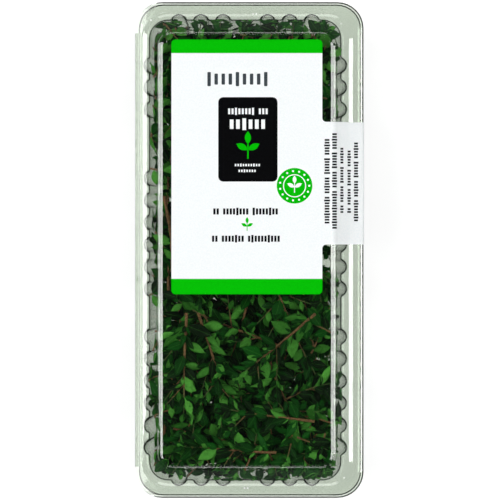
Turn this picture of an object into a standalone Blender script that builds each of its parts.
"""A hinged, clear thermoformed punnet packed with cut thyme, with a paper label over its lid.

The punnet lies flat. +Z is up, +Y runs along its length towards the label's head, and +X points away
from the hinge. The origin is on the surface that the tray stands on, at the middle of the pack.
Sizes below are in millimetres, and each mesh is written in metres.
"""

import collections
import math
import random

import bmesh
import bpy
from mathutils import Vector

MM = 0.001
HAIR = 0.001  # a length in millimetres too short to matter

# Punnet, outside sizes
PACK_HALF_X = 43.5
PACK_HALF_Y = 95.0
PACK_CORNER = 10.0
SHEET = 0.4  # wall of the formed plastic
GAP = 0.3  # left between two pieces that touch

# Tray: a fluted tub under a flat rim that turns down at its edge
RIM_TOP = 22.0
TRAY_CENTRE_X = -1.8
MOUTH_HALF_X = 36.7
MOUTH_HALF_Y = 88.2
MOUTH_CORNER = 7.0
WALL_DRAFT = 4.3  # how far a wall leans in by the time it reaches the floor
HEEL_CORNER = 5.5
HEEL_HEIGHT = 1.6
HEEL_INSET = 1.2
FLOOR_CORNER = 4.5
RIM_CORNER = 9.0
TRAY_SKIRT = 2.0
SKIRT_CLEARANCE = 0.45

# Flutes: rounded ribs that run down the tray's walls
FLUTE_PITCH = 8.5
FLUTE_WIDTH = 6.4
FLUTE_DEPTH = 2.0
FLUTE_DEPTH_AT_FLOOR = 0.9
SIDE_FLUTE_GROUPS = ((-75.7, 6), (-14.9, 6), (53.9, 3))  # lowest centre of each group, and its count
END_FLUTE_PLACES = tuple(side * FLUTE_PITCH * n for side in (-1, 1) for n in (1, 2, 3))

# Lid: a flat flange, a sloping shoulder and the flat panel that carries the label
LID_FLANGE_TOP = RIM_TOP + GAP + SHEET
DOME_CENTRE_X = -0.85
DOME_HALF_X = 39.45
DOME_HALF_Y = 89.8
DOME_CORNER = 9.0
PANEL_CENTRE_X = -1.2
PANEL_HALF_X = 33.2
PANEL_HALF_Y = 82.8
PANEL_CORNER = 5.0
PANEL_TOP = LID_FLANGE_TOP + 6.0
LID_SKIRT = 2.3  # left off at the hinge and its two corners

# Label: a sheet on the panel, with a flap that runs over the lid's edge opposite the hinge
LABEL_LEFT = -30.0
LABEL_RIGHT = 27.6
LABEL_LOW = -17.1
LABEL_HIGH = 81.3
LABEL_CORNER = 1.5
FLAP_LOW = 2.1
FLAP_HIGH = 48.9
LABEL_THICK = 0.2
FLAP_DROP = 3.2

# Thyme: layers of sprigs, and each layer's sprigs lie clear of each other
SPRIGS_IN_LAYER = (6, 6, 6, 6, 6, 7, 7, 8)  # from the floor up
LAYER_FIRST = 2.3
LAYER_PITCH = 3.4
SPRIG_REACH = 5.8  # from the stem to the tips of its leaves
SPRIG_LENGTHS = (42.0, 66.0)
SPRIG_SHEET = 1.2
HALF_LAYER = 1.5
WALL_MARGIN = 1.2  # from the tray's inner corners to the leaf tips
SHOULDER_MARGIN = 1.5
STEM_STEP = 4.0
STEM_BEND = math.radians(35)
TRIES = 6000  # places tried for each stem
CHOICES = 24  # places that fit, of which the emptiest is taken
CROWD_CELL = 12.0  # square of the tray's plan over which stems are counted
LEAF_PAIRS = 4
LEAF_LENGTH = 6.4
LEAF_WIDTH = 3.6
LEAF_SPREAD = math.radians(55)
LEAF_ROOT = 1.2
LEAF_LIFT = 0.55
STEM_HALF_CUT = 0.75
STEM_HALF_TIP = 0.4
# Sprigs laid by hand where they show: layer, x and y of the cut end, heading and bend in degrees, length
HAND_LAID = (
    (7, -24.5, -24.0, -92, -8, 40.0),
    (7, 24.5, -66.0, 171, 6, 36.5),
    (7, 25.0, -24.5, -140, 8, 38.0),
    (7, 10.0, -77.0, 178, 4, 36.0),
    (6, -19.0, -24.0, -79, -10, 46.0),
    (6, 8.0, -42.0, -68, 5, 38.0),
    (5, -1.0, -71.0, 170, 5, 30.0),
)
BARE_STEMS = 4
BARE_STEM_RADIUS = 0.7
BARE_STEM_LENGTH = 30.0
BARE_STEM_MARGIN = 0.5
SEED = 7

COLOURS = {
    "clear_pet": ((0.82, 0.86, 0.80), 0.08),
    "label_paper": ((0.93, 0.94, 0.94), 0.45),
    "thyme_leaf": ((0.05, 0.17, 0.03), 0.6),
    "thyme_stem": ((0.20, 0.11, 0.05), 0.8),
}


def clear_scene():
    for item in list(bpy.data.objects):
        bpy.data.objects.remove(item)


def material(name):
    """The named finish, made once."""
    found = bpy.data.materials.get(name)
    if found:
        return found
    colour, roughness = COLOURS[name]
    made = bpy.data.materials.new(name)
    made.use_nodes = True
    shader = made.node_tree.nodes["Principled BSDF"]
    shader.inputs["Base Color"].default_value = (*colour, 1.0)
    shader.inputs["Roughness"].default_value = roughness
    shader.inputs["Metallic"].default_value = 0.0
    return made


def add_object(name, shape, finish):
    """Turns a bmesh in millimetres into a node in metres."""
    bmesh.ops.scale(shape, vec=(MM, MM, MM), verts=shape.verts)
    mesh = bpy.data.meshes.new(name)
    shape.to_mesh(mesh)
    shape.free()
    mesh.materials.append(material(finish))
    node = bpy.data.objects.new(name, mesh)
    bpy.context.scene.collection.objects.link(node)
    return node


def thicken(node, thickness, offset):
    """Gives a sheet its wall. Offset 1 grows it along its normals, -1 against them, and 0 both ways."""
    wall = node.modifiers.new("Wall", "SOLIDIFY")
    wall.thickness = thickness * MM
    wall.offset = offset
    wall.use_even_offset = offset != 0


def side_flute_places():
    return [low + FLUTE_PITCH * n for low, count in SIDE_FLUTE_GROUPS for n in range(count)]


def flute_points(place, shrink, depth):
    """(distance along the wall, distance out of it) for one flute, a half wave in five points.

    Lower down, the straight run of wall is shorter, and shrink draws the flutes together by as much.
    """
    shares = (-0.5, -0.25, 0.0, 0.25, 0.5)
    return [((place + FLUTE_WIDTH * t) * shrink, depth * math.cos(math.pi * t)) for t in shares]


def outline(half_x, half_y, corner, centre_x=0.0, flute_depth=0.0, corner_steps=5):
    """A rounded rectangle, anticlockwise from the low end of its +X side, with any flutes."""
    side = side_flute_places() if flute_depth else []
    end = sorted(END_FLUTE_PLACES) if flute_depth else []
    sides = (
        (Vector((half_x, 0)), Vector((0, 1)), half_y, side),
        (Vector((0, half_y)), Vector((-1, 0)), half_x, end),
        (Vector((-half_x, 0)), Vector((0, -1)), half_y, [-y for y in reversed(side)]),
        (Vector((0, -half_y)), Vector((1, 0)), half_x, end),
    )
    points = []
    for middle, way, reach, flutes in sides:
        out = Vector((way.y, -way.x))
        mouth_reach = MOUTH_HALF_Y if abs(way.y) > 0.5 else MOUTH_HALF_X
        shrink = (reach - corner) / (mouth_reach - MOUTH_CORNER)
        for flute in flutes:
            wave = flute_points(flute, shrink, flute_depth)
            points += [middle + way * along + out * depth for along, depth in wave]
        arc_centre = middle + way * (reach - corner) - out * corner
        for step in range(corner_steps + 1):
            turn = math.pi / 2 * step / corner_steps
            points.append(arc_centre + (out * math.cos(turn) + way * math.sin(turn)) * corner)
    return [(p.x + centre_x, p.y) for p in points]


def add_ring(shape, points, z):
    return [shape.verts.new((x, y, z)) for x, y in points]


def join_rings(shape, upper, lower):
    """Quads between two rings of as many points."""
    count = len(upper)
    for i in range(count):
        j = (i + 1) % count
        shape.faces.new((upper[i], upper[j], lower[j], lower[i]))


def ring_edges(shape, ring):
    count = len(ring)
    return [shape.edges.get((ring[i], ring[(i + 1) % count])) or
            shape.edges.new((ring[i], ring[(i + 1) % count])) for i in range(count)]


def fill_between(shape, outer, inner):
    """A flat face with a hole, as triangles."""
    edges = ring_edges(shape, outer) + ring_edges(shape, inner)
    bmesh.ops.triangle_fill(shape, edges=edges, use_beauty=True)


def make_tray():
    """The tub's lower and outer face, from the rim's turned edge to the floor, thickened inwards."""
    shape = bmesh.new()
    edge = PACK_HALF_X - SHEET - SKIRT_CLEARANCE - SHEET
    edge_y = PACK_HALF_Y - SHEET - SKIRT_CLEARANCE - SHEET
    rim = outline(edge, edge_y, RIM_CORNER)
    under_rim = RIM_TOP - SHEET
    skirt = add_ring(shape, rim, RIM_TOP - TRAY_SKIRT)
    rim_edge = add_ring(shape, rim, under_rim)
    mouth = outline(MOUTH_HALF_X, MOUTH_HALF_Y, MOUTH_CORNER, TRAY_CENTRE_X, FLUTE_DEPTH)
    heel_x = MOUTH_HALF_X - WALL_DRAFT
    heel_y = MOUTH_HALF_Y - WALL_DRAFT
    heel = outline(heel_x, heel_y, HEEL_CORNER, TRAY_CENTRE_X, FLUTE_DEPTH_AT_FLOOR)
    floor = outline(heel_x - HEEL_INSET, heel_y - HEEL_INSET, FLOOR_CORNER, TRAY_CENTRE_X,
                    FLUTE_DEPTH_AT_FLOOR)
    mouth_ring = add_ring(shape, mouth, under_rim)
    heel_ring = add_ring(shape, heel, HEEL_HEIGHT)
    floor_ring = add_ring(shape, floor, 0.0)
    join_rings(shape, skirt, rim_edge)
    fill_between(shape, rim_edge, mouth_ring)
    join_rings(shape, mouth_ring, heel_ring)
    join_rings(shape, heel_ring, floor_ring)
    shape.faces.new(floor_ring)
    bmesh.ops.recalc_face_normals(shape, faces=shape.faces)
    floor_face = min(shape.faces, key=lambda face: face.calc_center_median().z)
    if floor_face.normal.z > 0:
        bmesh.ops.reverse_faces(shape, faces=shape.faces)
    tray = add_object("tray", shape, "clear_pet")
    thicken(tray, SHEET, -1)


def make_lid():
    """The lid's upper face, from its turned edge to the label panel, thickened inwards."""
    shape = bmesh.new()
    edge = outline(PACK_HALF_X, PACK_HALF_Y, PACK_CORNER)
    flange = add_ring(shape, edge, LID_FLANGE_TOP)
    skirt = add_ring(shape, edge, LID_FLANGE_TOP - LID_SKIRT)
    hinge_corner_end = -PACK_HALF_X + PACK_CORNER - HAIR
    count = len(edge)
    for i in range(count):
        j = (i + 1) % count
        if min(edge[i][0], edge[j][0]) > hinge_corner_end:
            shape.faces.new((flange[i], flange[j], skirt[j], skirt[i]))
    bmesh.ops.delete(shape, geom=[v for v in skirt if not v.link_faces], context="VERTS")
    dome = add_ring(shape, outline(DOME_HALF_X, DOME_HALF_Y, DOME_CORNER, DOME_CENTRE_X), LID_FLANGE_TOP)
    panel = add_ring(shape, outline(PANEL_HALF_X, PANEL_HALF_Y, PANEL_CORNER, PANEL_CENTRE_X), PANEL_TOP)
    fill_between(shape, flange, dome)
    join_rings(shape, dome, panel)
    shape.faces.new(panel)
    bmesh.ops.recalc_face_normals(shape, faces=shape.faces)
    panel_face = max(shape.faces, key=lambda face: face.calc_center_median().z)
    if panel_face.normal.z < 0:
        bmesh.ops.reverse_faces(shape, faces=shape.faces)
    lid = add_object("lid", shape, "clear_pet")
    thicken(lid, SHEET, -1)


def offset_path(path, distance):
    """The same (x, z) path, moved out to its left side by a distance, with mitred corners."""
    moved = []
    for i, point in enumerate(path):
        before = (point - path[i - 1]).normalized() if i else None
        after = (path[i + 1] - point).normalized() if i + 1 < len(path) else None
        ways = [way for way in (before, after) if way]
        normals = [Vector((-way.y, way.x)) for way in ways]
        middle = sum(normals, Vector((0, 0))).normalized()
        moved.append(point + middle * distance / middle.dot(normals[0]))
    return moved


def make_label():
    """The main sheet with round corners, and the flap that follows the lid's shoulder, flange and edge."""
    lid_path = [Vector(p) for p in (
        (LABEL_RIGHT, PANEL_TOP),
        (PANEL_CENTRE_X + PANEL_HALF_X, PANEL_TOP),
        (DOME_CENTRE_X + DOME_HALF_X, LID_FLANGE_TOP),
        (PACK_HALF_X, LID_FLANGE_TOP),
        (PACK_HALF_X, LID_FLANGE_TOP - FLAP_DROP),
    )]
    path = offset_path(lid_path, GAP)
    shape = bmesh.new()
    half_x = (LABEL_RIGHT - LABEL_LEFT) / 2
    half_y = (LABEL_HIGH - LABEL_LOW) / 2
    middle_y = (LABEL_HIGH + LABEL_LOW) / 2
    sheet = outline(half_x, half_y, LABEL_CORNER, LABEL_LEFT + half_x, corner_steps=3)
    z = PANEL_TOP + GAP
    low, high = (shape.verts.new((LABEL_RIGHT, y, z)) for y in (FLAP_LOW, FLAP_HIGH))
    ring = [shape.verts.new((x, y + middle_y, z)) for x, y in sheet]
    shape.faces.new([low, high] + ring)
    previous = (low, high)
    for point in path[1:]:
        pair = tuple(shape.verts.new((point.x, y, point.y)) for y in (FLAP_LOW, FLAP_HIGH))
        shape.faces.new((previous[0], pair[0], pair[1], previous[1]))
        previous = pair
    bmesh.ops.recalc_face_normals(shape, faces=shape.faces)
    if shape.faces[:][0].normal.z < 0:
        bmesh.ops.reverse_faces(shape, faces=shape.faces)
    label = add_object("label", shape, "label_paper")
    thicken(label, LABEL_THICK, 1)


def room_at(z):
    """(half width, half length) of the space for leaves at a height, clear of the walls or the lid."""
    lean = WALL_DRAFT * (RIM_TOP - z) / RIM_TOP
    slope = (DOME_HALF_X - PANEL_HALF_X) / (PANEL_TOP - LID_FLANGE_TOP)
    shoulder = (z - LID_FLANGE_TOP) * slope + SHOULDER_MARGIN
    if z < RIM_TOP:
        return MOUTH_HALF_X - lean - WALL_MARGIN, MOUTH_HALF_Y - lean - WALL_MARGIN
    return DOME_HALF_X - shoulder, DOME_HALF_Y - shoulder


def stem_line(middle, heading, length, bend):
    """Points along a stem that turns evenly by an angle, bend, from its cut end to its tip."""
    steps = max(2, round(length / STEM_STEP))
    step = length / steps
    points = [Vector((0, 0))]
    for i in range(steps):
        turn = heading + bend * ((i + 0.5) / steps - 0.5)
        points.append(points[-1] + Vector((math.cos(turn), math.sin(turn))) * step)
    centre = sum(points, Vector((0, 0))) / len(points)
    return [p - centre + middle for p in points]


def cell_of(point):
    return round(point.x / CROWD_CELL), round(point.y / CROWD_CELL)


def lay_stem(dice, z, taken, crowd, reach, length):
    """One stem in a layer, clear of the walls and of the stems laid before, where fewest stems lie so far."""
    low, high = room_at(z - HALF_LAYER), room_at(z + HALF_LAYER)
    half_x, half_y = (min(pair) - reach for pair in zip(low, high))
    fits = []
    for _ in range(TRIES):
        middle = Vector((dice.uniform(-half_x, half_x) + TRAY_CENTRE_X, dice.uniform(-half_y, half_y)))
        heading = dice.uniform(0, 2 * math.pi)
        line = stem_line(middle, heading, length, dice.uniform(-STEM_BEND, STEM_BEND))
        inside = all(abs(p.x - TRAY_CENTRE_X) < half_x and abs(p.y) < half_y for p in (line[0], line[-1]))
        if inside and all((p - q).length > reach + far for other, far in taken for q in other for p in line):
            fits.append(line)
        if len(fits) == CHOICES:
            break
    if not fits:
        return None
    line = min(fits, key=lambda one: sum(crowd[cell_of(p)] for p in one) / len(one))
    crowd.update(cell_of(p) for p in line)
    taken.append((line, reach))
    return line


def lines_laid_by_hand(layer):
    lines = []
    for where, x, y, heading, bend, length in HAND_LAID:
        if where == layer:
            line = stem_line(Vector((0, 0)), math.radians(heading), length, math.radians(bend))
            shift = Vector((x, y)) - line[0]
            lines.append([p + shift for p in line])
    return lines


def lay_out_thyme():
    """(height, stem line) of every leafy sprig, and of every bare stem."""
    dice = random.Random(SEED)
    crowd = collections.Counter()
    sprigs, bare = [], []
    for layer, count in enumerate(SPRIGS_IN_LAYER):
        z = LAYER_FIRST + LAYER_PITCH * layer
        lines = lines_laid_by_hand(layer)
        taken = [(line, SPRIG_REACH) for line in lines]
        crowd.update(cell_of(p) for line in lines for p in line)
        for _ in range(count - len(lines)):
            line = lay_stem(dice, z, taken, crowd, SPRIG_REACH, dice.uniform(*SPRIG_LENGTHS))
            if line:
                lines.append(line)
        sprigs += [(z, line) for line in lines]
        if layer % 2 == 1 and len(bare) < BARE_STEMS:
            reach = BARE_STEM_RADIUS + BARE_STEM_MARGIN
            line = lay_stem(dice, z, taken, crowd, reach, BARE_STEM_LENGTH)
            if line:
                bare.append((z, line))
    return sprigs, bare


def point_along(line, distance):
    """(point, direction) at a distance along a line of even steps."""
    step = (line[1] - line[0]).length
    i = min(int(distance / step), len(line) - 2)
    way = (line[i + 1] - line[i]).normalized()
    return line[i] + way * (distance - i * step), way


def add_leaf(shape, root, way, z, lift):
    """A pointed leaf blade as one face. root is the stem's two points on the leaf's left and right."""
    middle = (root[0].co.xy + root[1].co.xy) / 2
    side = Vector((-way.y, way.x))
    belly = middle + way * LEAF_LENGTH * 0.5
    blade = (
        (belly - side * LEAF_WIDTH / 2, z + lift / 2),
        (middle + way * LEAF_LENGTH, z + lift),
        (belly + side * LEAF_WIDTH / 2, z + lift / 2),
    )
    verts = [shape.verts.new((p.x, p.y, height)) for p, height in blade]
    return shape.faces.new([root[0], root[1]] + verts)


def turned(way, angle):
    return Vector((way.x * math.cos(angle) - way.y * math.sin(angle),
                   way.x * math.sin(angle) + way.y * math.cos(angle)))


def make_sprig(name, z, line):
    """One sprig, pressed flat in its layer: a tapering stem with pairs of leaves and a leaf at its tip."""
    shape = bmesh.new()
    length = (line[1] - line[0]).length * (len(line) - 1)
    spacing = (length - 2 * LEAF_ROOT) / (LEAF_PAIRS + 0.5)
    pairs = [spacing * (n + 1) for n in range(LEAF_PAIRS)]
    stations = [0.0] + [s for low in pairs for s in (low, low + LEAF_ROOT)] + [length]
    edges = []
    for distance in stations:
        point, way = point_along(line, distance)
        half = STEM_HALF_CUT + (STEM_HALF_TIP - STEM_HALF_CUT) * distance / length
        side = Vector((-way.y, way.x)) * half
        left, right = point + side, point - side
        edges.append((shape.verts.new((left.x, left.y, z)), shape.verts.new((right.x, right.y, z)), way))
    for (left, right, _), (next_left, next_right, _) in zip(edges, edges[1:]):
        shape.faces.new((left, right, next_right, next_left))
    for n in range(LEAF_PAIRS):
        near, far = edges[1 + 2 * n], edges[2 + 2 * n]
        lift = LEAF_LIFT if n % 2 else -LEAF_LIFT
        add_leaf(shape, (near[0], far[0]), turned(near[2], LEAF_SPREAD), z, lift)
        add_leaf(shape, (far[1], near[1]), turned(near[2], -LEAF_SPREAD), z, -lift)
    tip_left, tip_right, way = edges[-1]
    add_leaf(shape, (tip_left, tip_right), way, z, LEAF_LIFT)
    bmesh.ops.recalc_face_normals(shape, faces=shape.faces)
    sprig = add_object(name, shape, "thyme_leaf")
    thicken(sprig, SPRIG_SHEET, 0)


def make_bare_stem(name, z, line):
    """A short woody offcut: a six-sided rod along its line."""
    curve = bpy.data.curves.new(name, "CURVE")
    curve.dimensions = "3D"
    curve.bevel_depth = BARE_STEM_RADIUS * MM
    curve.bevel_resolution = 1
    curve.use_fill_caps = True
    path = curve.splines.new("POLY")
    path.points.add(len(line) - 1)
    for place, point in zip(path.points, line):
        place.co = (point.x * MM, point.y * MM, z * MM, 1)
    curve.materials.append(material("thyme_stem"))
    node = bpy.data.objects.new(name, curve)
    bpy.context.scene.collection.objects.link(node)


def main():
    clear_scene()
    make_tray()
    make_lid()
    make_label()
    sprigs, bare = lay_out_thyme()
    for n, (z, line) in enumerate(sprigs, 1):
        make_sprig(f"sprig_{n:02d}", z, line)
    for n, (z, line) in enumerate(bare, 1):
        make_bare_stem(f"bare_stem_{n}", z, line)


main()
